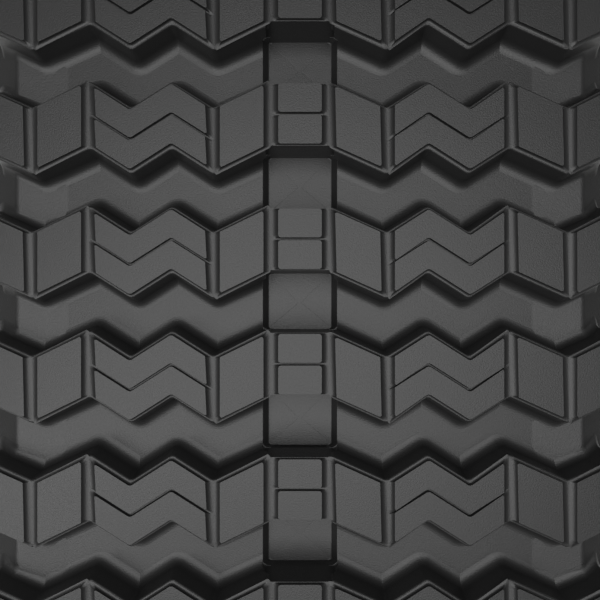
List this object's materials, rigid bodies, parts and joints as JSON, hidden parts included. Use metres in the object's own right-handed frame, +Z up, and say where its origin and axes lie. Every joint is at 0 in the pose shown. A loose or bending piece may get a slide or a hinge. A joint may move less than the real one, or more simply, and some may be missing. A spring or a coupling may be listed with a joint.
{
  "type": "rubber track section",
  "caption": "Flat stretch of steel-core rubber crawler track with zigzag tread bars, drive windows and twin guide horns, jointed at each pitch.",
  "frame": {"origin": "on the ground under the middle of the stretch, at the guide horns' tips", "axes": "+Y along the track, +X across it, +Z up through the tread"},
  "size_m": [0.45, 0.602, 0.083],
  "materials": {
    "tread_rubber": "matt, finely grained moulded black rubber",
    "belt_rubber": "matt moulded black rubber",
    "core_steel": "forged and scaled, worn bright on the bridge",
    "cord_steel": "brass-washed stranded wire",
    "ply_fabric": "calendered cord fabric"
  },
  "bodies": {
    "link_1": {"tread_bar_1": "tread_rubber", "outer_belt_1": "belt_rubber", "bias_ply_left_1": "ply_fabric", "bias_ply_right_1": "ply_fabric", "cord_band_left_1": "cord_steel", "cord_band_right_1": "cord_steel", "steel_core_1": "core_steel", "inner_belt_1": "belt_rubber"},
    "link_2": {"tread_bar_2": "tread_rubber", "outer_belt_2": "belt_rubber", "bias_ply_left_2": "ply_fabric", "bias_ply_right_2": "ply_fabric", "cord_band_left_2": "cord_steel", "cord_band_right_2": "cord_steel", "steel_core_2": "core_steel", "inner_belt_2": "belt_rubber"},
    "link_3": {"tread_bar_3": "tread_rubber", "outer_belt_3": "belt_rubber", "bias_ply_left_3": "ply_fabric", "bias_ply_right_3": "ply_fabric", "cord_band_left_3": "cord_steel", "cord_band_right_3": "cord_steel", "steel_core_3": "core_steel", "inner_belt_3": "belt_rubber"},
    "link_4": {"tread_bar_4": "tread_rubber", "outer_belt_4": "belt_rubber", "bias_ply_left_4": "ply_fabric", "bias_ply_right_4": "ply_fabric", "cord_band_left_4": "cord_steel", "cord_band_right_4": "cord_steel", "steel_core_4": "core_steel", "inner_belt_4": "belt_rubber"},
    "link_5": {"tread_bar_5": "tread_rubber", "outer_belt_5": "belt_rubber", "bias_ply_left_5": "ply_fabric", "bias_ply_right_5": "ply_fabric", "cord_band_left_5": "cord_steel", "cord_band_right_5": "cord_steel", "steel_core_5": "core_steel", "inner_belt_5": "belt_rubber"},
    "link_6": {"tread_bar_6": "tread_rubber", "outer_belt_6": "belt_rubber", "bias_ply_left_6": "ply_fabric", "bias_ply_right_6": "ply_fabric", "cord_band_left_6": "cord_steel", "cord_band_right_6": "cord_steel", "steel_core_6": "core_steel", "inner_belt_6": "belt_rubber"},
    "link_7": {"tread_bar_7": "tread_rubber", "outer_belt_7": "belt_rubber", "bias_ply_left_7": "ply_fabric", "bias_ply_right_7": "ply_fabric", "cord_band_left_7": "cord_steel", "cord_band_right_7": "cord_steel", "steel_core_7": "core_steel", "inner_belt_7": "belt_rubber"}
  },
  "joints": [
    {"name": "flex_4_5", "type": "hinge", "parent": "link_4", "child": "link_5", "pos_m": [0, 0.043, 0.0483], "axis": [-1, 0, 0], "range_deg": [-8, 24], "stiffness_Nm_per_rad": 40},
    {"name": "flex_5_6", "type": "hinge", "parent": "link_5", "child": "link_6", "pos_m": [0, 0.129, 0.0483], "axis": [-1, 0, 0], "range_deg": [-8, 24], "stiffness_Nm_per_rad": 40},
    {"name": "flex_6_7", "type": "hinge", "parent": "link_6", "child": "link_7", "pos_m": [0, 0.215, 0.0483], "axis": [-1, 0, 0], "range_deg": [-8, 24], "stiffness_Nm_per_rad": 40},
    {"name": "flex_3_4", "type": "hinge", "parent": "link_4", "child": "link_3", "pos_m": [0, -0.043, 0.0483], "axis": [1, 0, 0], "range_deg": [-8, 24], "stiffness_Nm_per_rad": 40},
    {"name": "flex_2_3", "type": "hinge", "parent": "link_3", "child": "link_2", "pos_m": [0, -0.129, 0.0483], "axis": [1, 0, 0], "range_deg": [-8, 24], "stiffness_Nm_per_rad": 40},
    {"name": "flex_1_2", "type": "hinge", "parent": "link_2", "child": "link_1", "pos_m": [0, -0.215, 0.0483], "axis": [1, 0, 0], "range_deg": [-8, 24], "stiffness_Nm_per_rad": 40}
  ]
}
